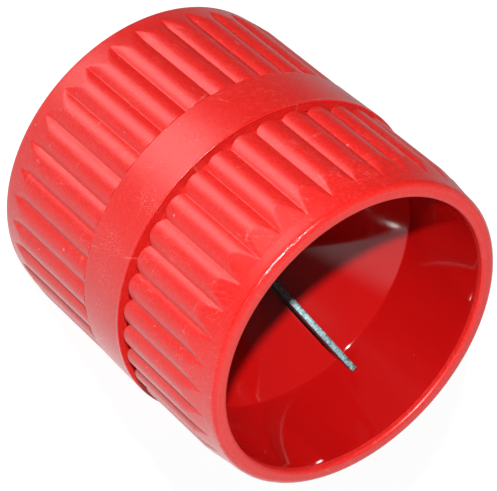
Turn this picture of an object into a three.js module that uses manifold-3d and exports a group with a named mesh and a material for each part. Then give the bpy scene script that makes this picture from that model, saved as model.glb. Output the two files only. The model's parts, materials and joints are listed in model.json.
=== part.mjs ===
// Inner and outer tube deburring tool: a short ribbed plastic barrel, open at both ends.
// The mouth holds a funnel whose three steel blades trim the outside of a tube end, and the
// other end holds a cone on which the same three blades trim the inside of a tube end.
// Units are millimetres, +Z runs along the barrel from the rear rim (z = 0) up to the mouth.
// Outlines are written as [radius, depth], with the depth counted from the mouth's plane.

import * as THREE from 'three';
import { mergeVertices } from 'three/addons/utils/BufferGeometryUtils.js';
import Module from 'manifold-3d';

const wasm = await Module();
wasm.setup();

// Barrel
const LENGTH = 44;
const BORE_RADIUS = 19;
const SHELL_BORE_RADIUS = 20;
const SPIGOT_RADIUS = 20.6;
const SPIGOT_MEETING_DEPTH = 21.8;
const FRONT_CREST_RADIUS = 21.7;
const REAR_CREST_RADIUS = 21.9;

// Longitudinal lobes, with a sharp groove between each pair
const LOBE_COUNT = 36;
const LOBE_ROUNDING_RADIUS = 3;
const SIDES_PER_LOBE = 3;
const GROOVE_AZIMUTH = 1.3;
const GROOVE_END = 2.1;

// Joining band around the middle
const BAND_FRONT_DEPTH = 18.1;
const BAND_REAR_DEPTH = 25.5;
const BAND_FRONT_RADIUS = 22.1;
const BAND_REAR_RADIUS = 21.95;
const BAND_BORE_RADIUS = 20.75;

// Funnel and cone, which are parallel surfaces of one half angle
const HALF_ANGLE = THREE.MathUtils.degToRad(40);
const CREASE_DEPTH = 13.6;
const CREASE_RADIUS = 18.5;
const INSERT_RADIUS = 19.85;
const FUNNEL_APEX = CREASE_DEPTH + CREASE_RADIUS / Math.tan(HALF_ANGLE);
const PARTING_APEX = FUNNEL_APEX + 2.5;
const CONE_APEX = FUNNEL_APEX + 5.55;
const HUB_RADIUS = 2.6;
const HUB_FRONT_DEPTH = 31;
const NOSE_DEPTH = 40.6;

// Blades
const BLADE_COUNT = 3;
const BLADE_AZIMUTH = 79.6;
const BLADE_THICKNESS = 0.8;
const BLADE_INNER_RADIUS = 2.8;
const BLADE_OUTER_RADIUS = 18.4;
const BLADE_FRONT_STAND = 2.1;
const BLADE_REAR_STAND = 1;

// Centre screw and the threaded insert that it pulls against
const SCREW_RADIUS = 0.95;
const SCREW_HEAD_RADIUS = 1.9;
const SCREW_HOLE_RADIUS = 1.1;
const SCREW_TIP_DEPTH = 31.7;
const THREAD_INSERT_RADIUS = 1.6;

const FITTING_GAP = 0.1;
const SLOT_GAP = 0.25;
const SHELL_SIDES = LOBE_COUNT * SIDES_PER_LOBE;
const INSERT_SIDES = 48;
const SCREW_SIDES = 24;

// The depth at which a cone with this apex has this radius.
function coneDepth(apex, radius) {
  return apex - radius / Math.tan(HALF_ANGLE);
}

// The apex of a cone's parallel surface, moved along the cone's normal.
function shiftedApex(apex, distance) {
  return apex + distance / Math.sin(HALF_ANGLE);
}

// A solid of revolution about +Z. The outline closes on itself, unless it starts on the axis.
function turned(outline, sides) {
  const points = outline.map(([radius, depth]) => new THREE.Vector2(radius, LENGTH - depth));
  if (points[0].x > 0) {
    points.push(points[0].clone());
  }
  return new THREE.LatheGeometry(points.reverse(), sides).rotateX(Math.PI / 2);
}

// The distance from the axis to a lobe's rounded surface, at an angle from the lobe's middle.
function lobeRadius(angle, crestRadius) {
  const centre = crestRadius - LOBE_ROUNDING_RADIUS;
  const offset = centre * Math.sin(angle);
  return centre * Math.cos(angle) + Math.sqrt(LOBE_ROUNDING_RADIUS ** 2 - offset ** 2);
}

// Presses the lobes into a turned shell: no outer point stands above its lobe.
function pressLobes(geometry, crestRadius) {
  const position = geometry.getAttribute('position');
  const pitch = (2 * Math.PI) / LOBE_COUNT;
  for (let i = 0; i < position.count; i += 1) {
    const x = position.getX(i);
    const y = position.getY(i);
    const turns = Math.atan2(y, x) / pitch;
    const angle = (turns - Math.floor(turns + 1e-6) - 0.5) * pitch;
    const radius = Math.hypot(x, y);
    const scale = Math.min(1, lobeRadius(angle, crestRadius) / radius);
    position.setXY(i, x * scale, y * scale);
  }
  return geometry;
}

function toSolid(geometry) {
  const bare = geometry.clone();
  bare.deleteAttribute('normal');
  bare.deleteAttribute('uv');
  const merged = mergeVertices(bare, 1e-4);
  const vertProperties = new Float32Array(merged.getAttribute('position').array);
  const triVerts = new Uint32Array(merged.getIndex().array);
  return new wasm.Manifold(new wasm.Mesh({ numProp: 3, vertProperties, triVerts }));
}

function toGeometry(solid) {
  const mesh = solid.getMesh();
  const geometry = new THREE.BufferGeometry();
  geometry.setAttribute('position', new THREE.BufferAttribute(mesh.vertProperties, 3));
  geometry.setIndex(new THREE.BufferAttribute(mesh.triVerts, 1));
  geometry.computeVertexNormals();
  return geometry;
}

// Takes the cutters away from a shape.
function cut(geometry, cutters) {
  let solid = toSolid(geometry);
  for (const cutter of cutters) {
    solid = solid.subtract(toSolid(cutter));
  }
  return toGeometry(solid);
}

// The mouth's half of the grip: rounded lip, lobes that end in rounded fingers, and a spigot.
function frontShell() {
  const crest = FRONT_CREST_RADIUS;
  const valley = lobeRadius(Math.PI / LOBE_COUNT, crest);
  const outline = [
    [BORE_RADIUS, 0.8],
    [BORE_RADIUS, 0.3],
    [19.3, 0],
    [20.2, 0],
    [20.6, 0.15],
    [20.8, 0.6],
    [valley, GROOVE_END],
    [crest - 0.25, 3.3],
    [crest - 0.07, 4.6],
    [crest, 6],
    [crest, 16.8],
    [crest - 0.25, 17.5],
    [SPIGOT_RADIUS, BAND_FRONT_DEPTH - FITTING_GAP],
    [SPIGOT_RADIUS, SPIGOT_MEETING_DEPTH - FITTING_GAP],
    [SHELL_BORE_RADIUS, SPIGOT_MEETING_DEPTH - FITTING_GAP],
    [SHELL_BORE_RADIUS, 1.8],
  ];
  return pressLobes(turned(outline, SHELL_SIDES), crest);
}

// The other half of the grip. Its lobes butt against the band, and its rim is the foot.
function rearShell() {
  const crest = REAR_CREST_RADIUS;
  const valley = lobeRadius(Math.PI / LOBE_COUNT, crest);
  const outline = [
    [SHELL_BORE_RADIUS, SPIGOT_MEETING_DEPTH + FITTING_GAP],
    [SPIGOT_RADIUS, SPIGOT_MEETING_DEPTH + FITTING_GAP],
    [SPIGOT_RADIUS, BAND_REAR_DEPTH + FITTING_GAP],
    [crest, BAND_REAR_DEPTH + FITTING_GAP],
    [crest, LENGTH - 5.4],
    [crest - 0.07, LENGTH - 4.2],
    [crest - 0.25, LENGTH - 3.1],
    [valley, LENGTH - GROOVE_END],
    [valley, LENGTH - 0.6],
    [valley - 0.35, LENGTH - 0.1],
    [20.2, LENGTH],
    [19.3, LENGTH],
    [BORE_RADIUS, LENGTH - 0.3],
    [BORE_RADIUS, LENGTH - 0.8],
    [SHELL_BORE_RADIUS, LENGTH - 1.8],
  ];
  return pressLobes(turned(outline, SHELL_SIDES), crest);
}

// The smooth collar pressed over both spigots.
function centreBand() {
  const chamfer = 0.2;
  return turned([
    [BAND_BORE_RADIUS, BAND_FRONT_DEPTH],
    [BAND_FRONT_RADIUS - chamfer, BAND_FRONT_DEPTH],
    [BAND_FRONT_RADIUS, BAND_FRONT_DEPTH + chamfer],
    [BAND_REAR_RADIUS, BAND_REAR_DEPTH - chamfer],
    [BAND_REAR_RADIUS - chamfer, BAND_REAR_DEPTH],
    [BAND_BORE_RADIUS, BAND_REAR_DEPTH],
  ], INSERT_SIDES);
}

// Three upright slots, one for each blade, right through a funnel or cone.
function bladeSlots() {
  const inner = BLADE_INNER_RADIUS - 0.1;
  const outer = CREASE_RADIUS;
  const slots = [];
  for (let i = 0; i < BLADE_COUNT; i += 1) {
    const slot = new THREE.BoxGeometry(outer - inner, BLADE_THICKNESS + 2 * SLOT_GAP, LENGTH);
    slot.translate((outer + inner) / 2, 0, LENGTH / 2);
    slots.push(slot.rotateZ(bladeAngle(i)));
  }
  return slots;
}

function bladeAngle(i) {
  return THREE.MathUtils.degToRad(BLADE_AZIMUTH) + (i * 2 * Math.PI) / BLADE_COUNT;
}

// The polished guide wall and funnel that a tube end is pushed into.
function funnelInsert() {
  const pocket = THREAD_INSERT_RADIUS + 0.15;
  const flatRadius = 3.2;
  const back = coneDepth(PARTING_APEX, flatRadius);
  const outline = [
    [BORE_RADIUS, 0.95],
    [INSERT_RADIUS, 1.85],
    [INSERT_RADIUS, coneDepth(PARTING_APEX, INSERT_RADIUS)],
    [flatRadius, back],
    [pocket, back],
    [pocket, HUB_FRONT_DEPTH],
    [HUB_RADIUS, HUB_FRONT_DEPTH],
    [HUB_RADIUS, coneDepth(FUNNEL_APEX, HUB_RADIUS)],
    [CREASE_RADIUS, CREASE_DEPTH],
  ];
  return cut(turned(outline, INSERT_SIDES), bladeSlots());
}

// The guide wall and cone that go inside a tube end. It clamps the blades to the funnel.
function coneInsert() {
  const floorDepth = 20.6;
  const floorInnerRadius = (CONE_APEX - floorDepth) * Math.tan(HALF_ANGLE);
  const flatRadius = 3.2;
  const front = coneDepth(PARTING_APEX, flatRadius) + FITTING_GAP;
  const outline = [
    [SCREW_HOLE_RADIUS, front],
    [flatRadius, front],
    [INSERT_RADIUS, coneDepth(PARTING_APEX, INSERT_RADIUS) + FITTING_GAP],
    [INSERT_RADIUS, LENGTH - 1.85],
    [BORE_RADIUS, LENGTH - 0.95],
    [CREASE_RADIUS, floorDepth],
    [floorInnerRadius, floorDepth],
    [HUB_RADIUS, coneDepth(CONE_APEX, HUB_RADIUS)],
    [HUB_RADIUS, NOSE_DEPTH - 0.4],
    [HUB_RADIUS - 0.3, NOSE_DEPTH],
    [SCREW_HEAD_RADIUS + 0.15, NOSE_DEPTH],
    [SCREW_HEAD_RADIUS + 0.15, NOSE_DEPTH - 0.3],
    [SCREW_HOLE_RADIUS, NOSE_DEPTH - 1.3],
  ];
  return cut(turned(outline, INSERT_SIDES), bladeSlots());
}

// A straight ground steel strip, stood on edge. Its long edges follow the funnel and the cone.
function blade() {
  const front = shiftedApex(FUNNEL_APEX, -BLADE_FRONT_STAND);
  const rear = shiftedApex(CONE_APEX, BLADE_REAR_STAND);
  const outline = new THREE.Shape();
  outline.moveTo(BLADE_INNER_RADIUS, LENGTH - coneDepth(front, BLADE_INNER_RADIUS));
  outline.lineTo(BLADE_INNER_RADIUS, LENGTH - coneDepth(rear, BLADE_INNER_RADIUS));
  outline.lineTo(BLADE_OUTER_RADIUS, LENGTH - coneDepth(rear, BLADE_OUTER_RADIUS));
  outline.lineTo(BLADE_OUTER_RADIUS, LENGTH - coneDepth(front, BLADE_OUTER_RADIUS));
  outline.closePath();
  const strip = new THREE.ExtrudeGeometry(outline, { depth: BLADE_THICKNESS, bevelEnabled: false });
  return strip.translate(0, 0, -BLADE_THICKNESS / 2).rotateX(Math.PI / 2);
}

// A countersunk screw with a cross recess, driven in from the cone's nose.
function centreScrew() {
  const headDepth = NOSE_DEPTH - 0.05;
  const outline = [
    [0, SCREW_TIP_DEPTH],
    [0.6, SCREW_TIP_DEPTH],
    [SCREW_RADIUS, SCREW_TIP_DEPTH + 0.4],
    [SCREW_RADIUS, headDepth - 1.1],
    [SCREW_HEAD_RADIUS, headDepth - 0.15],
    [SCREW_HEAD_RADIUS, headDepth],
    [0, headDepth],
  ];
  const recessDepth = 0.8;
  const arm = new THREE.BoxGeometry(2.2, 0.5, recessDepth * 2).translate(0, 0, LENGTH - headDepth);
  const recess = [arm, arm.clone().rotateZ(Math.PI / 2)];
  return cut(turned(outline, SCREW_SIDES), recess);
}

// The brass nut moulded into the funnel's hub, waisted so that it can't pull out.
function threadedInsert() {
  const front = HUB_FRONT_DEPTH + 0.05;
  const back = 34.3;
  const waist = (front + back) / 2;
  return turned([
    [SCREW_HOLE_RADIUS, front],
    [THREAD_INSERT_RADIUS, front],
    [THREAD_INSERT_RADIUS, waist - 0.5],
    [THREAD_INSERT_RADIUS - 0.2, waist - 0.3],
    [THREAD_INSERT_RADIUS - 0.2, waist + 0.3],
    [THREAD_INSERT_RADIUS, waist + 0.5],
    [THREAD_INSERT_RADIUS, back],
    [SCREW_HOLE_RADIUS, back],
  ], SCREW_SIDES);
}

const satinRed = { color: 0xe8403f, roughness: 0.45, metalness: 0 };
const polishedRed = { color: 0xb90f12, roughness: 0.12, metalness: 0 };
const groundSteel = { color: 0xb9c4c6, roughness: 0.35, metalness: 1 };
const platedSteel = { color: 0xc9c9cc, roughness: 0.25, metalness: 1 };
const brass = { color: 0xc9a24b, roughness: 0.3, metalness: 1 };

const tool = new THREE.Group();

function addPiece(name, geometry, finish, parent = tool) {
  const piece = new THREE.Mesh(geometry, new THREE.MeshStandardMaterial(finish));
  piece.name = name;
  parent.add(piece);
}

const grip = new THREE.Group();
grip.rotation.z = THREE.MathUtils.degToRad(GROOVE_AZIMUTH);
tool.add(grip);
addPiece('front_shell', frontShell(), satinRed, grip);
addPiece('rear_shell', rearShell(), satinRed, grip);
addPiece('centre_band', centreBand(), satinRed);
addPiece('funnel_insert', funnelInsert(), polishedRed);
addPiece('cone_insert', coneInsert(), polishedRed);
for (let i = 0; i < BLADE_COUNT; i += 1) {
  const holder = new THREE.Group();
  holder.rotation.z = bladeAngle(i);
  tool.add(holder);
  addPiece(`blade_${i + 1}`, blade(), groundSteel, holder);
}
addPiece('centre_screw', centreScrew(), platedSteel);
addPiece('threaded_insert', threadedInsert(), brass);

export default tool;
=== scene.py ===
"""The looks of a tube deburring tool: a ribbed red barrel with a funnel, a cone and three blades.

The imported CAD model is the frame. Each moulded or turned piece is built again here as a finer
mesh of the same size, with its small radii, and gets a procedural finish. Lengths are in
millimetres until a mesh is written. Outlines are lists of (radius, depth), with the depth
counted down from the mouth's plane, and a third number is the radius of that corner.
"""

import json
import math

import bmesh
import bpy
import numpy as np
from mathutils import Matrix, Vector

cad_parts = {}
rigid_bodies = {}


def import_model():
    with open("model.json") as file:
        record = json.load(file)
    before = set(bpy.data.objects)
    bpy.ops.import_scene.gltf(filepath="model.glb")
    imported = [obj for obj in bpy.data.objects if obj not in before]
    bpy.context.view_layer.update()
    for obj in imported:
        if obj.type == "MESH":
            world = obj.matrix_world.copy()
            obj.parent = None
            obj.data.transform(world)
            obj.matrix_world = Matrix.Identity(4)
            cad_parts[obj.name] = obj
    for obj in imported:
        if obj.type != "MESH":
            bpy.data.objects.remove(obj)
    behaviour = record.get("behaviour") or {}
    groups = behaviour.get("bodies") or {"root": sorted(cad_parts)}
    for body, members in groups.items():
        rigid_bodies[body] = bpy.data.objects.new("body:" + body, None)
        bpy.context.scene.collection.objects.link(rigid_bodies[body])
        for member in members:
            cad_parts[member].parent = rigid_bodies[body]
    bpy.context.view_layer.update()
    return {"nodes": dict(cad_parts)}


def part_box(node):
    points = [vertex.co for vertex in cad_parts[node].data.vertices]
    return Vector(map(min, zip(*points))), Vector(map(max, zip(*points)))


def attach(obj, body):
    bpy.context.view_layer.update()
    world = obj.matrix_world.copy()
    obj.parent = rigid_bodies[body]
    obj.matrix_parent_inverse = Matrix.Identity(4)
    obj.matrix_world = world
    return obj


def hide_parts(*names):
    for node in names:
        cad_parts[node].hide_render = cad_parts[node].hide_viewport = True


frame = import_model()

# A millimetre in metres, and the barrel's length
MM = 0.001
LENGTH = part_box("front_shell")[1].z / MM


def depths(node):
    """The depths at which a CAD node starts and ends."""
    low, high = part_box(node)
    return LENGTH - high.z / MM, LENGTH - low.z / MM


def reach(node):
    """A CAD node's largest distance from the Y-Z plane."""
    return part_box(node)[1].x / MM


# Barrel
BORE_RADIUS = 19.0
SHELL_BORE_RADIUS = 20.0
SPIGOT_RADIUS = 20.6
SPIGOT_END = depths("front_shell")[1]
SPIGOT_START = depths("rear_shell")[0]
FRONT_CREST_RADIUS = 21.7
REAR_CREST_RADIUS = 21.9
BAND_FRONT, BAND_REAR = depths("centre_band")
BAND_FRONT_RADIUS = reach("centre_band")
BAND_REAR_RADIUS = BAND_FRONT_RADIUS - 0.15
BAND_BORE_RADIUS = 20.75
SEAT_DEPTH = 1.8
SEAT_GAP = 0.05
JOINT_GAP = 0.1

# Lip at the mouth: it slopes a little outward, and rises to the lobes' crests
LIP_SLOPE = 0.12
LIP_SETBACK = 0.18
LIP_EDGE_RADIUS = 20.75
LIP_MIDDLE_RADIUS = 20.0
LIP_RISE_END = 5.9
INSERT_TOP = 0.92
INSERT_GAP = 0.02

# Rear rim: the crests fall towards it
RIM_FALL = 0.42
RIM_FALL_START = 4.5
RIM_FALL_END = 0.7
RIM_DRAFT = 0.12
REAR_INSERT_TOP = 0.8

# Lobes along the barrel. A shell's outline stands a margin above its lobes' crests, so that
# the lobes give the surface. LOBE_EDGE rounds the line where outline and lobes cross.
LOBE_COUNT = 36
LOBE_PITCH = 2 * math.pi / LOBE_COUNT
LOBE_ROUNDING = 3.0
GROOVE_AZIMUTH = math.radians(1.3)
GROOVE_END = 2.1
GROOVE_FILLET = 0.15
GROOVE_RUN_OUT = (0.6, 3.6)
LOBE_EDGE = 0.02
FRONT_MARGIN = 0.06
REAR_MARGIN = 0.04

# Mesh rows and columns. The rows are finer where the grooves end.
COLUMNS_PER_LOBE = 18
ROW_HEIGHT = 0.4
FINE_ROW_HEIGHT = 0.14
FRONT_FINE_ROWS = (1.0, 6.5)
REAR_FINE_ROWS = (LENGTH - 5.7, LENGTH)
BAND_ROW_HEIGHT = 0.5
BAND_COLUMNS = 432
INSERT_ROW_HEIGHT = 0.8
INSERT_COLUMNS = 240
SCREW_ROW_HEIGHT = 0.06
SCREW_COLUMNS = 96
BRASS_ROW_HEIGHT = 0.2
KNURL_COUNT = 28
BRASS_COLUMNS = 5 * KNURL_COUNT

# Rounded lobe ends beside the band: their tips, where the rounding starts, and its radius
FINGER_TIP = BAND_FRONT - 0.4
FINGER_START = FINGER_TIP - 3.2
FINGER_ROUNDING = 2.4

# Funnel and cone
HALF_ANGLE = math.radians(40)
CREASE_DEPTH = 13.6
CREASE_RADIUS = 18.5
INSERT_RADIUS = 19.85
FUNNEL_APEX = CREASE_DEPTH + CREASE_RADIUS / math.tan(HALF_ANGLE)
PARTING_APEX = FUNNEL_APEX + 2.5
CONE_APEX = FUNNEL_APEX + 5.55
HUB_RADIUS = 2.6
HUB_FRONT = 31.0
NOSE = 40.6
CONE_FLOOR = 20.6
CORE_RADIUS = 3.2
POCKET_GAP = 0.15
PARTING_GAP = 0.1

# Blades and their slots
BLADES = ["blade_1", "blade_2", "blade_3"]
BLADE_AZIMUTH = math.radians(79.6)
BLADE_THICKNESS = 0.8
BLADE_EDGE = 0.045
SLOT_INNER_RADIUS = 2.7
SLOT_TIGHT_SIDE = 0.05
SLOT_LOOSE_SIDE = 0.27

# Fasteners
SCREW_TIP = depths("centre_screw")[0]
SCREW_END = depths("centre_screw")[1]
SCREW_RADIUS = 0.95
SCREW_HEAD_RADIUS = reach("centre_screw")
SCREW_POINT_RADIUS = 0.6
THREAD_PITCH = 0.5
THREAD_HEIGHT = 0.09
CROSS_REACH = 1.1
CROSS_HALF_WIDTH = 0.25
CROSS_DEPTH = 0.8
BRASS_FRONT, BRASS_REAR = depths("threaded_insert")
BRASS_RADIUS = reach("threaded_insert")
BRASS_WAIST = 0.2
KNURL_DEPTH = 0.06
HOLE_RADIUS = 1.1

# Worn places: azimuth in degrees, radius, depth and size. A dent's last number is how far the
# surface moves towards the axis there, or away from it where that is negative.
GRIP_SCUFFS = [(-44, 21.5, 6.4, 1.6), (-105, 21.0, 3.0, 1.2), (-75, 21.4, 15.0, 1.3)]
BAND_SCUFFS = [
    (-80, 22, 20.0, 3.0),
    (-104, 22, 21.5, 3.0),
    (-61, 22, 22.4, 3.0),
    (-50, 22, 21.5, 3.6),
    (-38, 22, 22.0, 3.0),
]
FRONT_DENTS = [
    (-44.5, 21.4, 6.2, 0.5, 0.12),
    (-43.2, 21.3, 6.9, 0.4, 0.1),
    (35, 19.1, 0.1, 0.35, -0.05),
    (63, 19.1, 0.1, 0.3, -0.06),
    (118, 19.1, 0.1, 0.4, -0.05),
    (-35, 19.1, 0.1, 0.3, -0.05),
    (20, 20.7, 0.2, 0.5, 0.06),
    (-128, 20.7, 0.2, 0.5, 0.05),
]


# ---------------------------------------------------------------- outlines


def rounded(corners, steps=6):
    """An open outline whose corners are replaced by arcs of their own radius."""
    points = [corners[0][:2]]
    for before, corner, after in zip(corners, corners[1:], corners[2:]):
        here = Vector(corner[:2])
        if len(corner) < 3:
            points.append(tuple(here))
            continue
        back = (Vector(before[:2]) - here).normalized()
        ahead = (Vector(after[:2]) - here).normalized()
        half = back.angle(ahead) / 2
        centre = here + (back + ahead).normalized() * corner[2] / math.sin(half)
        start = here + back * corner[2] / math.tan(half) - centre
        end = here + ahead * corner[2] / math.tan(half) - centre
        for i in range(steps + 1):
            points.append(tuple(centre + start.slerp(end, i / steps).normalized() * corner[2]))
    points.append(corners[-1][:2])
    return points


def divided(points, longest, fine=None):
    """The same outline, with its long straight stretches cut into shorter ones.

    fine, where given, is a shorter length and the two depths between which it holds.
    """
    result = []
    for start, end in zip(points, points[1:]):
        within = fine and fine[1] <= min(start[1], end[1]) and max(start[1], end[1]) <= fine[2]
        pieces = max(1, math.ceil(math.dist(start, end) / (fine[0] if within else longest)))
        for i in range(pieces):
            share = i / pieces
            result.append(tuple(a + (b - a) * share for a, b in zip(start, end)))
    result.append(points[-1])
    return result


def cone_depth(apex, radius):
    """The depth at which the cone with this apex has this radius."""
    return apex - radius / math.tan(HALF_ANGLE)


def smooth_min(a, b, width):
    """The lower of two heights, with their crossing rounded over."""
    overlap = np.clip(width - np.abs(a - b), 0, None) / width
    return np.minimum(a, b) - overlap**2 * width / 4


# ---------------------------------------------------------------- meshes


def new_piece(name, mesh, node, material):
    """A piece that stands for a CAD node."""
    piece = bpy.data.objects.new(name, mesh)
    bpy.context.scene.collection.objects.link(piece)
    piece.data.materials.clear()
    piece.data.materials.append(material)
    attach(piece, "root")
    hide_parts(node)
    return piece


def smoothed(mesh, sharpest=35):
    """Shades a mesh smooth, apart from edges that turn by more than this angle."""
    mesh.polygons.foreach_set("use_smooth", [True] * len(mesh.polygons))
    mesh.set_sharp_from_angle(angle=math.radians(sharpest))
    mesh.update()
    return mesh


def turned(name, outline, angles, shape=None):
    """A mesh turned about +Z. The outline closes on itself, or runs from axis to axis.

    shape, where given, takes the radii, the depths and the angles, and returns new radii
    and depths.
    """
    capped = outline[0][0] == 0
    rings = outline[1:-1] if capped else outline
    radius, depth = (np.array(column)[:, None] for column in zip(*rings))
    angle = np.asarray(angles)[None, :]
    radius, depth = (grid + 0 * angle for grid in (radius, depth))
    if shape:
        radius, depth = shape(radius, depth, angle)
    points = np.stack([radius * np.cos(angle), radius * np.sin(angle), LENGTH - depth], -1)
    rows, columns = radius.shape
    index = np.arange(rows * columns).reshape(rows, columns)
    following = np.roll(index, -1, 1)
    below = np.roll(index, -1, 0)
    last = rows - 1 if capped else rows
    sides = [index, following, np.roll(below, -1, 1), below]
    faces = np.stack(sides, -1)[:last].reshape(-1, 4).tolist()
    vertices = points.reshape(-1, 3).tolist()
    if capped:
        vertices += [(0, 0, LENGTH - outline[0][1]), (0, 0, LENGTH - outline[-1][1])]
        top, bottom = rows * columns, rows * columns + 1
        faces += [(top, b, a) for a, b in zip(index[0].tolist(), following[0].tolist())]
        faces += [(bottom, a, b) for a, b in zip(index[-1].tolist(), following[-1].tolist())]
    mesh = bpy.data.meshes.new(name)
    mesh.from_pydata((np.array(vertices) * MM).tolist(), [], faces)
    return facing_out(mesh)


def facing_out(mesh):
    """Turns a closed mesh's faces outward."""
    work = bmesh.new()
    work.from_mesh(mesh)
    bmesh.ops.recalc_face_normals(work, faces=work.faces)
    work.to_mesh(mesh)
    work.free()
    return mesh


def even_angles(count):
    """This many equal steps all round."""
    return np.arange(count) * 2 * math.pi / count


def block(low, high, azimuth):
    """A box between two corners, turned about +Z."""
    work = bmesh.new()
    bmesh.ops.create_cube(work, size=1)
    for vertex in work.verts:
        for axis in range(3):
            middle = (low[axis] + high[axis]) / 2
            size = high[axis] - low[axis]
            vertex.co[axis] = (middle + vertex.co[axis] * size) * MM
    bmesh.ops.rotate(work, verts=work.verts, matrix=Matrix.Rotation(azimuth, 3, "Z"))
    return work


def cut(mesh, cutters):
    """Takes the cutters away from a mesh."""
    scene = bpy.context.scene.collection.objects
    body = bpy.data.objects.new("cut_body", mesh)
    scene.link(body)
    tools = []
    for work in cutters:
        tool = bpy.data.objects.new("cut_tool", bpy.data.meshes.new("cut_tool"))
        work.to_mesh(tool.data)
        work.free()
        scene.link(tool)
        tools.append(tool)
        modifier = body.modifiers.new("cut", "BOOLEAN")
        modifier.operation = "DIFFERENCE"
        modifier.solver = "EXACT"
        modifier.object = tool
    bpy.context.view_layer.update()
    result = bpy.data.meshes.new_from_object(
        body.evaluated_get(bpy.context.evaluated_depsgraph_get())
    )
    for helper in [body, *tools]:
        bpy.data.objects.remove(helper)
    return result


# ---------------------------------------------------------------- grip shells


def from_middle(angle):
    """The angle from the middle of the lobe at this azimuth."""
    turns = (angle - GROOVE_AZIMUTH) / LOBE_PITCH
    return (turns - np.floor(turns) - 0.5) * LOBE_PITCH


def lobe_height(angle, crest):
    """The radius of one lobe's round back, at an angle from its middle."""
    centre = crest - LOBE_ROUNDING
    across = np.clip(centre * np.sin(angle), -LOBE_ROUNDING, LOBE_ROUNDING)
    return centre * np.cos(angle) + np.sqrt(LOBE_ROUNDING**2 - across**2)


def lobes(angle, crest):
    """The radius of the row of lobes, with a small fillet along each groove."""
    local = np.abs(from_middle(angle))
    here = lobe_height(local, crest)
    beside = lobe_height(LOBE_PITCH - local, crest)
    return -smooth_min(-here, -beside, GROOVE_FILLET)


def lobe_angles():
    """Angles all round, closest together in the grooves."""
    steps = np.linspace(-1, 1, COLUMNS_PER_LOBE + 1)[:-1]
    within = 0.5 + 0.5 * np.sin(steps * math.pi / 2)
    starts = np.arange(LOBE_COUNT)[:, None]
    return (starts + within).ravel() * LOBE_PITCH + GROOVE_AZIMUTH


def front_shape(radius, depth, angle):
    """Lobes with round ends: each end is set back beside the grooves, but not under the band."""
    across = from_middle(angle) * FRONT_CREST_RADIUS
    setback = FINGER_ROUNDING - np.sqrt(FINGER_ROUNDING**2 - across**2)
    stretch = [FINGER_START, FINGER_TIP - 0.7, FINGER_TIP + 0.05, BAND_FRONT + 0.2]
    moved = depth - setback * np.interp(depth, stretch, [0, 1, 1, 0])
    return smooth_min(radius, lobes(angle, FRONT_CREST_RADIUS), LOBE_EDGE), moved


def rear_shape(radius, depth, angle):
    """Lobes whose grooves run out before the rear rim."""
    groove = REAR_CREST_RADIUS - lobes(angle, REAR_CREST_RADIUS)
    left = np.interp(LENGTH - depth, GROOVE_RUN_OUT, [0, 1])
    return smooth_min(radius, REAR_CREST_RADIUS - groove * left, LOBE_EDGE), depth


def front_mesh():
    """The mouth's half of the grip: lip, lobes, round lobe ends, and the spigot under the band."""
    groove = lobes(GROOVE_AZIMUTH, FRONT_CREST_RADIUS)
    crest = FRONT_CREST_RADIUS + FRONT_MARGIN
    outer = rounded([
        (BORE_RADIUS, INSERT_TOP),
        (BORE_RADIUS, 0, 0.45),
        (groove - LIP_SETBACK, LIP_SLOPE, 0.85),
        (groove, GROOVE_END, 1.2),
        (crest, LIP_RISE_END, 2),
        (crest, FINGER_TIP, 0.45),
        (SPIGOT_RADIUS, FINGER_TIP, 0.12),
        (SPIGOT_RADIUS, SPIGOT_END),
    ])
    outer = divided(outer, ROW_HEIGHT, (FINE_ROW_HEIGHT, *FRONT_FINE_ROWS))
    inner = [(SHELL_BORE_RADIUS, SPIGOT_END), (SHELL_BORE_RADIUS, SEAT_DEPTH)]
    return turned("front_grip", outer + inner, lobe_angles(), front_shape)


def rear_mesh():
    """The far half of the grip, from its spigot under the band to the rear rim."""
    crest = REAR_CREST_RADIUS + REAR_MARGIN
    rim = REAR_CREST_RADIUS - RIM_FALL
    face = BAND_REAR + JOINT_GAP
    outer = rounded([
        (SPIGOT_RADIUS, SPIGOT_START),
        (SPIGOT_RADIUS, face),
        (crest, face, 0.14),
        (crest, LENGTH - 5.6),
        (crest, LENGTH - RIM_FALL_START, 4),
        (rim, LENGTH - RIM_FALL_END, 1),
        (rim - RIM_DRAFT, LENGTH, 0.4),
        (BORE_RADIUS, LENGTH, 0.32),
        (BORE_RADIUS, LENGTH - REAR_INSERT_TOP),
    ])
    outer = divided(outer, ROW_HEIGHT, (FINE_ROW_HEIGHT, *REAR_FINE_ROWS))
    inner = [(SHELL_BORE_RADIUS, LENGTH - SEAT_DEPTH), (SHELL_BORE_RADIUS, SPIGOT_START)]
    return turned("rear_grip", outer + inner, lobe_angles(), rear_shape)


def band_mesh():
    """The collar over the joint of the two halves."""
    outer = rounded([
        (BAND_BORE_RADIUS, BAND_FRONT),
        (BAND_FRONT_RADIUS, BAND_FRONT, 0.13),
        (BAND_REAR_RADIUS, BAND_REAR, 0.16),
        (BAND_BORE_RADIUS, BAND_REAR),
    ])
    return turned("grip_band", divided(outer, BAND_ROW_HEIGHT), even_angles(BAND_COLUMNS))


def worn(mesh, dents):
    """Presses small dents into a mesh, and raises small nicks."""
    points = np.empty(len(mesh.vertices) * 3)
    mesh.vertices.foreach_get("co", points)
    points = points.reshape(-1, 3) / MM
    for azimuth, radius, depth, size, sink in dents:
        turn = math.radians(azimuth)
        middle = np.array([radius * math.cos(turn), radius * math.sin(turn), LENGTH - depth])
        away = np.linalg.norm(points - middle, axis=1)
        inward = -middle * [1, 1, 0] / radius
        points += np.exp(-((away / size) ** 2))[:, None] * inward * sink
    mesh.vertices.foreach_set("co", (points * MM).ravel())
    mesh.update()
    return mesh


# ---------------------------------------------------------------- inserts


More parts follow.
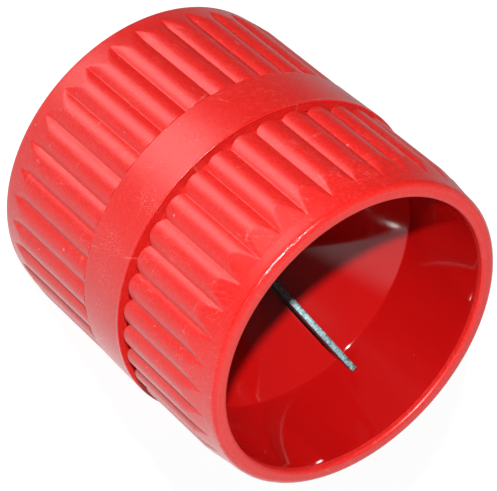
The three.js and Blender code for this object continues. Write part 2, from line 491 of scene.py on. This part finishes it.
def blade_turns():
    """Each blade's azimuth."""
    return [BLADE_AZIMUTH + i * 2 * math.pi / len(BLADES) for i in range(len(BLADES))]


def blade_slots():
    """One upright slot for each blade, close on one side of it and loose on the other."""
    low = (SLOT_INNER_RADIUS, -BLADE_THICKNESS / 2 - SLOT_LOOSE_SIDE, -1)
    high = (CREASE_RADIUS, BLADE_THICKNESS / 2 + SLOT_TIGHT_SIDE, LENGTH + 1)
    return [block(low, high, turn) for turn in blade_turns()]


def funnel_mesh():
    """The insert in the mouth: a guide wall, a funnel, and a hub that holds the brass."""
    pocket = BRASS_RADIUS + POCKET_GAP
    back = cone_depth(PARTING_APEX, CORE_RADIUS)
    seen = rounded([
        (pocket, back),
        (pocket, HUB_FRONT, 0.08),
        (HUB_RADIUS, HUB_FRONT, 0.15),
        (HUB_RADIUS, cone_depth(FUNNEL_APEX, HUB_RADIUS), 0.2),
        (CREASE_RADIUS, CREASE_DEPTH, 0.5),
        (BORE_RADIUS, INSERT_TOP + INSERT_GAP, 0.02),
        (INSERT_RADIUS, SEAT_DEPTH + SEAT_GAP),
    ], steps=8)
    hidden = [(INSERT_RADIUS, cone_depth(PARTING_APEX, INSERT_RADIUS)), (CORE_RADIUS, back)]
    outline = divided(seen, INSERT_ROW_HEIGHT) + hidden
    return cut(turned("guide_funnel", outline, even_angles(INSERT_COLUMNS)), blade_slots())


def cone_mesh():
    """The insert in the rear end: a guide wall, a cone, and a nose with a well for the screw."""
    floor_inner = (CONE_APEX - CONE_FLOOR) * math.tan(HALF_ANGLE)
    front = cone_depth(PARTING_APEX, CORE_RADIUS) + PARTING_GAP
    well = SCREW_HEAD_RADIUS + POCKET_GAP
    seen = rounded([
        (INSERT_RADIUS, LENGTH - SEAT_DEPTH - SEAT_GAP),
        (BORE_RADIUS, LENGTH - REAR_INSERT_TOP - 0.15, 0.1),
        (CREASE_RADIUS, CONE_FLOOR, 0.3),
        (floor_inner, CONE_FLOOR, 0.2),
        (HUB_RADIUS, cone_depth(CONE_APEX, HUB_RADIUS), 0.3),
        (HUB_RADIUS, NOSE, 0.3),
        (well, NOSE, 0.08),
        (well, NOSE - 0.3, 0.05),
        (HOLE_RADIUS, NOSE - 1.3, 0.1),
        (HOLE_RADIUS, front),
    ], steps=8)
    parting_edge = cone_depth(PARTING_APEX, INSERT_RADIUS) + PARTING_GAP
    hidden = [(CORE_RADIUS, front), (INSERT_RADIUS, parting_edge)]
    outline = divided(seen, INSERT_ROW_HEIGHT) + hidden
    return cut(turned("guide_cone", outline, even_angles(INSERT_COLUMNS)), blade_slots())


# ---------------------------------------------------------------- steel and brass


def blade_mesh(node):
    """The CAD blade with its edges just broken."""
    work = bmesh.new()
    work.from_mesh(frame["nodes"][node].data)
    bmesh.ops.remove_doubles(work, verts=work.verts, dist=MM * 0.01)
    bmesh.ops.dissolve_limit(work, angle_limit=0.01, verts=work.verts, edges=work.edges)
    bmesh.ops.bevel(
        work, geom=work.edges[:], offset=BLADE_EDGE * MM, segments=3, profile=0.5,
        affect="EDGES",
    )
    mesh = bpy.data.meshes.new(node + "_strip")
    work.to_mesh(mesh)
    work.free()
    return mesh


def screw_shape(radius, depth, angle):
    """A helical thread on the shank."""
    turns = depth / THREAD_PITCH - angle / (2 * math.pi)
    ridge = np.abs(2 * (turns - np.floor(turns)) - 1)
    shank = (radius > SCREW_RADIUS - 0.01) & (radius < SCREW_RADIUS + 0.01)
    return radius + np.where(shank, THREAD_HEIGHT * (ridge - 0.5), 0), depth


def screw_mesh():
    """A countersunk screw with a cross recess in its head."""
    outline = rounded([
        (0, SCREW_TIP),
        (SCREW_POINT_RADIUS, SCREW_TIP, 0.05),
        (SCREW_RADIUS, SCREW_TIP + 0.4),
        (SCREW_RADIUS, SCREW_END - 1.1),
        (SCREW_HEAD_RADIUS, SCREW_END - 0.15, 0.04),
        (SCREW_HEAD_RADIUS, SCREW_END, 0.06),
        (0, SCREW_END),
    ])
    outline = divided(outline, SCREW_ROW_HEIGHT)
    mesh = turned("cross_head_screw", outline, even_angles(SCREW_COLUMNS), screw_shape)
    low = (-CROSS_REACH, -CROSS_HALF_WIDTH, LENGTH - SCREW_END - 1)
    high = (CROSS_REACH, CROSS_HALF_WIDTH, LENGTH - SCREW_END + CROSS_DEPTH)
    return cut(mesh, [block(low, high, turn) for turn in (0, math.pi / 2)])


def brass_shape(radius, depth, angle):
    """Straight knurling on the two wide bands."""
    knurled = (radius > BRASS_RADIUS - 0.01) & (depth > BRASS_FRONT + 0.1)
    knurl = KNURL_DEPTH * np.abs(np.sin(angle * KNURL_COUNT / 2))
    return radius - np.where(knurled, knurl, 0), depth


def brass_mesh():
    """The threaded insert, with a waist between its two knurled bands."""
    waist = (BRASS_FRONT + BRASS_REAR) / 2
    outline = rounded([
        (HOLE_RADIUS, BRASS_REAR),
        (HOLE_RADIUS, BRASS_FRONT, 0.1),
        (BRASS_RADIUS, BRASS_FRONT, 0.06),
        (BRASS_RADIUS, waist - 0.5),
        (BRASS_RADIUS - BRASS_WAIST, waist - 0.3),
        (BRASS_RADIUS - BRASS_WAIST, waist + 0.3),
        (BRASS_RADIUS, waist + 0.5),
        (BRASS_RADIUS, BRASS_REAR),
    ])
    outline = divided(outline, BRASS_ROW_HEIGHT)
    return turned("brass_thread_insert", outline, even_angles(BRASS_COLUMNS), brass_shape)


# ---------------------------------------------------------------- node helpers


def add(tree, kind, sockets=None, **settings):
    """A node with its settings, and with its sockets linked or set."""
    made = tree.nodes.new(kind)
    for name, value in settings.items():
        setattr(made, name, value)
    for name, value in (sockets or {}).items():
        if isinstance(value, bpy.types.NodeSocket):
            tree.links.new(value, made.inputs[name])
        else:
            made.inputs[name].default_value = value
    return made


def maths(tree, operation, *values):
    """The result of one maths node."""
    return add(tree, "ShaderNodeMath", dict(enumerate(values)), operation=operation).outputs[0]


def noise(tree, where, scale, detail=2.0):
    """Noise with this many features to a unit of its coordinates."""
    sockets = {"Vector": where, "Scale": scale, "Detail": detail}
    return add(tree, "ShaderNodeTexNoise", sockets).outputs[0]


def ranged(tree, value, low, high, to_low=0.0, to_high=1.0):
    """The value moved from one range to another, and held inside it."""
    sockets = {0: value, 1: low, 2: high, 3: to_low, 4: to_high}
    return add(tree, "ShaderNodeMapRange", sockets, interpolation_type="SMOOTHSTEP").outputs[0]


def mixed(tree, share, first, second):
    """A colour between two colours."""
    sockets = {0: share, 6: first, 7: second}
    return add(tree, "ShaderNodeMix", sockets, data_type="RGBA").outputs[2]


def scaled(tree, where, x, y, z, turn=0.0):
    """Coordinates turned about Z and then stretched."""
    turned_first = add(tree, "ShaderNodeMapping", {"Vector": where, "Rotation": (0, 0, turn)})
    sockets = {"Vector": turned_first.outputs[0], "Scale": (x, y, z)}
    return add(tree, "ShaderNodeMapping", sockets).outputs[0]


def unrolled(tree, where, radius):
    """Coordinates on the unrolled barrel in millimetres: round it and along it."""
    parts = add(tree, "ShaderNodeSeparateXYZ", {0: where}).outputs
    around = maths(tree, "MULTIPLY", maths(tree, "ARCTAN2", parts[1], parts[0]), radius)
    along = maths(tree, "DIVIDE", parts[2], MM)
    return add(tree, "ShaderNodeCombineXYZ", {0: around, 1: along}).outputs[0]


def scratches(tree, unrolled_where, turn, length, gap, width, share):
    """Thin broken lines of this length and this far apart, in millimetres.

    turn is their direction, from the way round the barrel. share is how much of them is left.
    """
    stretched = scaled(tree, unrolled_where, 1 / length, 1 / gap, 1, turn)
    middle = maths(tree, "SUBTRACT", noise(tree, stretched, 1.0, 0.0), 0.5)
    line = ranged(tree, maths(tree, "ABSOLUTE", middle), 0.0, width, 1.0, 0.0)
    patch = noise(tree, scaled(tree, unrolled_where, 0.4 / length, 0.25, 1, turn), 1.0, 2.0)
    return maths(tree, "MULTIPLY", line, ranged(tree, patch, 0.98 - share, 1.04 - share))


def specks(tree, where, scale, size, share):
    """Scattered dots: this share of the cells of this scale holds a dot of this size."""
    cells = add(tree, "ShaderNodeTexVoronoi", {"Vector": where, "Scale": scale})
    dot = ranged(tree, cells.outputs["Distance"], size * 0.6, size, 1.0, 0.0)
    parts = add(tree, "ShaderNodeSeparateColor", {0: cells.outputs["Color"]}).outputs
    chosen = maths(tree, "GREATER_THAN", parts[0], 1 - share)
    return maths(tree, "MULTIPLY", dot, chosen)


def near(tree, where, azimuth, radius, depth, size):
    """1 at a place on the barrel, falling to 0 at this distance."""
    turn = math.radians(azimuth)
    place = Vector((radius * math.cos(turn), radius * math.sin(turn), LENGTH - depth)) * MM
    gap = add(tree, "ShaderNodeVectorMath", {0: where, 1: place}, operation="DISTANCE")
    return ranged(tree, gap.outputs[1], 0.0, size * MM, 1.0, 0.0)


def beside_circle(tree, where, radius, depth, width):
    """1 along a circle round the barrel, falling to 0 at this distance from it."""
    parts = add(tree, "ShaderNodeSeparateXYZ", {0: where}).outputs
    flat = add(tree, "ShaderNodeCombineXYZ", {0: parts[0], 1: parts[1]}).outputs[0]
    out = add(tree, "ShaderNodeVectorMath", {0: flat}, operation="LENGTH").outputs[1]
    place = add(tree, "ShaderNodeCombineXYZ", {0: out, 1: parts[2]}).outputs[0]
    middle = (radius * MM, (LENGTH - depth) * MM, 0)
    gap = add(tree, "ShaderNodeVectorMath", {0: place, 1: middle}, operation="DISTANCE").outputs[1]
    return ranged(tree, gap, 0.4 * width * MM, width * MM, 1.0, 0.0)


def bumped(tree, height, strength, distance, normal=None):
    """A normal tilted by a height of this many millimetres, on top of another bump's normal."""
    sockets = {"Height": height, "Strength": strength, "Distance": distance * MM}
    if normal:
        sockets["Normal"] = normal
    return add(tree, "ShaderNodeBump", sockets).outputs[0]


def new_material(name):
    """An empty material, its node tree and its coordinates in metres."""
    material = bpy.data.materials.new(name)
    material.use_nodes = True
    material.node_tree.nodes.clear()
    tree = material.node_tree
    return material, tree, add(tree, "ShaderNodeTexCoord").outputs["Object"]


def finished(material, sockets):
    """Ends a material in one Principled shader with these sockets."""
    tree = material.node_tree
    shader = add(tree, "ShaderNodeBsdfPrincipled", sockets)
    add(tree, "ShaderNodeOutputMaterial", {0: shader.outputs[0]})
    return material


# ---------------------------------------------------------------- finishes


def satin_red(name, scuffs):
    """Moulded red plastic with a satin grain, rubbed edges, dust and light handling marks, and a
    painted highlight on the lip's end face.
    """
    material, tree, where = new_material(name)
    sheet = unrolled(tree, where, FRONT_CREST_RADIUS)
    mottle = noise(tree, where, 140, 3.0)
    grain = noise(tree, where, 4300, 3.0)
    dust = specks(tree, where, 620, 0.075, 0.3)
    crumbs = specks(tree, where, 260, 0.055, 0.24)
    fine = scratches(tree, sheet, 0.12, 5.0, 0.5, 0.012, 0.46)
    slanted = scratches(tree, sheet, 1.1, 4.0, 0.8, 0.014, 0.43)
    scuffed = 0.0
    for place in scuffs:
        scuffed = maths(tree, "MAXIMUM", scuffed, near(tree, where, *place))
    flecks = ranged(tree, noise(tree, where, 6000, 2.0), 0.57, 0.66)
    rubbed = maths(tree, "MULTIPLY", scuffed, flecks)
    marks = maths(tree, "MAXIMUM", maths(tree, "MAXIMUM", fine, slanted), rubbed)
    dots = maths(tree, "MAXIMUM", dust, crumbs)
    worn_edge = maths(tree, "MAXIMUM", beside_circle(tree, where, LIP_EDGE_RADIUS, 0.2, 0.7),
                      beside_circle(tree, where, BAND_FRONT_RADIUS, BAND_FRONT, 0.4))
    blotches = noise(tree, where, 2900, 2.0)
    light_blotches = ranged(tree, blotches, 0.5, 0.7, 0.0, 0.3)
    dark_blotches = ranged(tree, blotches, 0.5, 0.3, 0.0, 0.25)
    # Painted highlight: the lip's end face is painted a paler red, standing in for stronger light
    # falling on it.
    lip = beside_circle(tree, where, LIP_MIDDLE_RADIUS, 0, 1.2)
    colour = mixed(tree, mottle, (0.63, 0.014, 0.011, 1), (0.55, 0.01, 0.008, 1))
    colour = mixed(tree, light_blotches, colour, (0.74, 0.045, 0.038, 1))
    colour = mixed(tree, dark_blotches, colour, (0.4, 0.004, 0.003, 1))
    # Painted highlight on the lip's end face: a paler red mixed in by the lip mask.
    colour = mixed(tree, maths(tree, "MULTIPLY", lip, 0.25), colour, (0.86, 0.05, 0.042, 1))
    colour = mixed(tree, maths(tree, "MULTIPLY", marks, 0.18), colour, (0.95, 0.36, 0.32, 1))
    colour = mixed(tree, maths(tree, "MULTIPLY", rubbed, 0.12), colour, (0.98, 0.5, 0.45, 1))
    colour = mixed(tree, maths(tree, "MULTIPLY", dots, 0.3), colour, (0.96, 0.55, 0.5, 1))
    roughness = maths(tree, "ADD", ranged(tree, grain, 0.3, 0.7, 0.34, 0.42),
                      maths(tree, "MULTIPLY", marks, 0.14))
    roughness = maths(tree, "SUBTRACT", roughness, maths(tree, "MULTIPLY", worn_edge, 0.23))
    normal = bumped(tree, grain, 0.9, 0.014)
    normal = bumped(tree, maths(tree, "MULTIPLY", grain, worn_edge), 1.0, 0.06, normal)
    normal = bumped(tree, marks, 0.5, 0.014, normal)
    normal = bumped(tree, dots, 0.5, 0.03, normal)
    return finished(material, {
        "Base Color": colour, "Roughness": roughness, "Normal": normal, "IOR": 1.53,
    })


def polished_red():
    """The same plastic from a polished mould: deeper, glossy, with hairlines and a little dust."""
    material, tree, where = new_material("polished_red")
    sheet = unrolled(tree, where, BORE_RADIUS)
    mottle = noise(tree, where, 110, 3.0)
    ripple = noise(tree, where, 420, 1.0)
    hairlines = scratches(tree, sheet, 0.05, 7.0, 0.35, 0.012, 0.42)
    dust = specks(tree, where, 700, 0.07, 0.12)
    plain = mixed(tree, mottle, (0.42, 0.0038, 0.0038, 1), (0.38, 0.0028, 0.0028, 1))
    colour = mixed(tree, maths(tree, "MULTIPLY", dust, 0.25), plain, (0.8, 0.3, 0.28, 1))
    roughness = maths(tree, "ADD", ranged(tree, mottle, 0.3, 0.7, 0.05, 0.08),
                      maths(tree, "MULTIPLY", hairlines, 0.12))
    normal = bumped(tree, ripple, 0.03, 0.02)
    normal = bumped(tree, hairlines, 0.25, 0.004, normal)
    normal = bumped(tree, dust, 0.5, 0.02, normal)
    return finished(material, {
        "Base Color": colour, "Roughness": roughness, "Normal": normal, "IOR": 1.7,
    })


def ground_steel():
    """Tool steel with level grinding marks, small pits and an uneven grey."""
    material, tree, where = new_material("ground_steel")
    marks = noise(tree, scaled(tree, where, 2600, 2600, 9000), 1.0, 3.0)
    mottle = noise(tree, where, 3200, 3.0)
    pits = specks(tree, where, 2600, 0.12, 0.2)
    ridges = ranged(tree, marks, 0.35, 0.65)
    colour = mixed(tree, ridges, (0.08, 0.13, 0.135, 1), (0.28, 0.4, 0.41, 1))
    colour = mixed(tree, ranged(tree, mottle, 0.5, 0.7, 0.0, 0.7), colour, (0.03, 0.06, 0.07, 1))
    colour = mixed(tree, maths(tree, "MULTIPLY", pits, 0.5), colour, (0.4, 0.55, 0.6, 1))
    roughness = ranged(tree, marks, 0.3, 0.7, 0.4, 0.6)
    normal = bumped(tree, marks, 0.6, 0.012)
    return finished(material, {
        "Base Color": colour, "Roughness": roughness, "Normal": normal, "Metallic": 1.0,
    })


def plated_steel():
    """Zinc plated steel: bright, faintly blue and yellow, with a cloudy roughness."""
    material, tree, where = new_material("plated_steel")
    clouds = noise(tree, where, 1400, 4.0)
    colour = mixed(tree, clouds, (0.72, 0.75, 0.79, 1), (0.8, 0.77, 0.68, 1))
    return finished(material, {
        "Base Color": colour,
        "Roughness": ranged(tree, clouds, 0.3, 0.7, 0.18, 0.34),
        "Normal": bumped(tree, noise(tree, where, 9000, 2.0), 0.3, 0.004),
        "Metallic": 1.0,
    })


def machined_brass():
    """Brass with fine turning marks and a little tarnish."""
    material, tree, where = new_material("machined_brass")
    rings = noise(tree, scaled(tree, where, 400, 400, 16000), 1.0, 2.0)
    tarnish = noise(tree, where, 800, 4.0)
    colour = mixed(tree, tarnish, (0.84, 0.62, 0.27, 1), (0.6, 0.4, 0.16, 1))
    return finished(material, {
        "Base Color": colour,
        "Roughness": ranged(tree, tarnish, 0.3, 0.7, 0.22, 0.4),
        "Normal": bumped(tree, rings, 0.4, 0.004),
        "Metallic": 1.0,
    })


# ---------------------------------------------------------------- pieces


def add_pieces():
    """Every piece of the tool, each in place of its CAD node."""
    grip_finish = satin_red("satin_red", GRIP_SCUFFS)
    band_finish = satin_red("satin_red_band", BAND_SCUFFS)
    insert_finish = polished_red()
    steel = ground_steel()
    front = smoothed(worn(front_mesh(), FRONT_DENTS))
    new_piece("front_grip", front, "front_shell", grip_finish)
    new_piece("rear_grip", smoothed(rear_mesh()), "rear_shell", grip_finish)
    new_piece("grip_band", smoothed(band_mesh()), "centre_band", band_finish)
    new_piece("guide_funnel", smoothed(funnel_mesh()), "funnel_insert", insert_finish)
    new_piece("guide_cone", smoothed(cone_mesh()), "cone_insert", insert_finish)
    for node in BLADES:
        new_piece(node + "_strip", smoothed(blade_mesh(node), 50), node, steel)
    screw = smoothed(screw_mesh())
    new_piece("cross_head_screw", screw, "centre_screw", plated_steel())
    brass = smoothed(brass_mesh())
    new_piece("brass_thread_insert", brass, "threaded_insert", machined_brass())


# ---------------------------------------------------------------- camera, light and floor

# Directions run from the middle of the tool to the camera and to the flash
CAMERA_DISTANCE = 344
CAMERA_AZIMUTH = math.radians(-90.08)
CAMERA_ELEVATION = math.radians(38.96)
CAMERA_ROLL = math.radians(130.95)
CAMERA_LENS = 202.8
CAMERA_TARGET = Vector((0.28, 0, LENGTH / 2 + 0.18))

FLASH_DISTANCE = 400
FLASH_AZIMUTH = math.radians(-100)
FLASH_ELEVATION = math.radians(33)
FLASH_SIZE = 16
FLASH_POWER = 2.45

# The room's bright parts: azimuth, elevation, angle of full light, angle of no light, colour
GLOWS = {
    "white_wall": (25, 22, 50, 70, (0.56, 0.56, 0.58)),
    "far_wall": (100, 20, 20, 55, (0.5, 0.48, 0.47)),
    "far_table": (95, -42, 25, 50, (0.7, 0.7, 0.7)),
    "side_window": (20, -42, 25, 70, (1.06, 1.03, 1.04)),
    "table_glare": (-103, -41, 4, 24, (5.0, 5.0, 5.0)),
}
ROOM_COLOUR = (0.045, 0.045, 0.045)
BACKDROP_COLOUR = (1, 1, 1, 1)
FLOOR_HALF_WIDTH = 1500


def direction(azimuth, elevation):
    """The unit vector that points there."""
    flat = math.cos(elevation)
    return Vector((flat * math.cos(azimuth), flat * math.sin(azimuth), math.sin(elevation)))


def add_camera():
    """A long lens that looks down into the mouth, rolled on its side."""
    data = bpy.data.cameras.new("camera")
    data.lens = CAMERA_LENS
    data.clip_start = 0.01
    camera = bpy.data.objects.new("camera", data)
    bpy.context.scene.collection.objects.link(camera)
    back = direction(CAMERA_AZIMUTH, CAMERA_ELEVATION)
    aside = Vector((0, 0, 1)).cross(back).normalized()
    rise = back.cross(aside)
    right = math.cos(CAMERA_ROLL) * aside + math.sin(CAMERA_ROLL) * rise
    up = back.cross(right)
    turn = Matrix((right, up, back)).transposed().to_4x4()
    place = (CAMERA_TARGET + back * CAMERA_DISTANCE) * MM
    camera.matrix_world = Matrix.Translation(place) @ turn
    bpy.context.scene.camera = camera


def add_flash():
    """The one small lamp, beside the camera."""
    data = bpy.data.lights.new("flash", "AREA")
    data.shape = "DISK"
    data.size = FLASH_SIZE * MM
    data.energy = FLASH_POWER
    flash = bpy.data.objects.new("flash", data)
    bpy.context.scene.collection.objects.link(flash)
    towards = direction(FLASH_AZIMUTH, FLASH_ELEVATION)
    flash.location = (CAMERA_TARGET + towards * FLASH_DISTANCE) * MM
    flash.rotation_mode = "QUATERNION"
    flash.rotation_quaternion = towards.to_track_quat("Z", "Y")
    flash.visible_camera = False


def add_room():
    """A dim room with a few soft bright parts. The camera sees a plain pale backdrop instead."""
    world = bpy.data.worlds.new("room")
    bpy.context.scene.world = world
    world.use_nodes = True
    tree = world.node_tree
    tree.nodes.clear()
    towards = add(tree, "ShaderNodeTexCoord").outputs["Generated"]
    total = add(tree, "ShaderNodeCombineXYZ", dict(enumerate(ROOM_COLOUR))).outputs[0]
    for azimuth, elevation, full, none, colour in GLOWS.values():
        centre = direction(math.radians(azimuth), math.radians(elevation))
        facing = add(tree, "ShaderNodeVectorMath", {0: towards, 1: centre},
                     operation="DOT_PRODUCT").outputs[1]
        limits = (math.cos(math.radians(none)), math.cos(math.radians(full)))
        amount = ranged(tree, facing, *limits)
        glow = add(tree, "ShaderNodeVectorMath", {0: colour, 3: amount}, operation="SCALE")
        total = add(tree, "ShaderNodeVectorMath", {0: total, 1: glow.outputs[0]},
                    operation="ADD").outputs[0]
    seen = add(tree, "ShaderNodeLightPath").outputs["Is Camera Ray"]
    colour = mixed(tree, seen, total, BACKDROP_COLOUR)
    light = add(tree, "ShaderNodeBackground", {0: colour, 1: 1.0})
    add(tree, "ShaderNodeOutputWorld", {0: light.outputs[0]})


def add_floor():
    """A pale floor that glows a little. It isn't seen in reflections, where the room shows."""
    half = FLOOR_HALF_WIDTH * MM
    corners = [(-half, -half, 0), (half, -half, 0), (half, half, 0), (-half, half, 0)]
    mesh = bpy.data.meshes.new("floor")
    mesh.from_pydata(corners, [], [(0, 1, 2, 3)])
    floor = bpy.data.objects.new("floor", mesh)
    bpy.context.scene.collection.objects.link(floor)
    material, tree, where = new_material("pale_floor")
    tone = ranged(tree, noise(tree, where, 60, 3.0), 0.3, 0.7, 0.28, 0.32)
    finished(material, {
        "Base Color": mixed(tree, tone, (0.2, 0.2, 0.2, 1), (0.3, 0.3, 0.3, 1)),
        "Roughness": 0.9, "Specular IOR Level": 0.0,
        "Emission Color": (1, 1, 1, 1), "Emission Strength": 0.9,
    })
    mesh.materials.append(material)
    floor.visible_glossy = False
    floor.visible_diffuse = False


add_camera()
add_pieces()
add_flash()
add_room()
add_floor()
bpy.context.scene.view_settings.view_transform = "Standard"
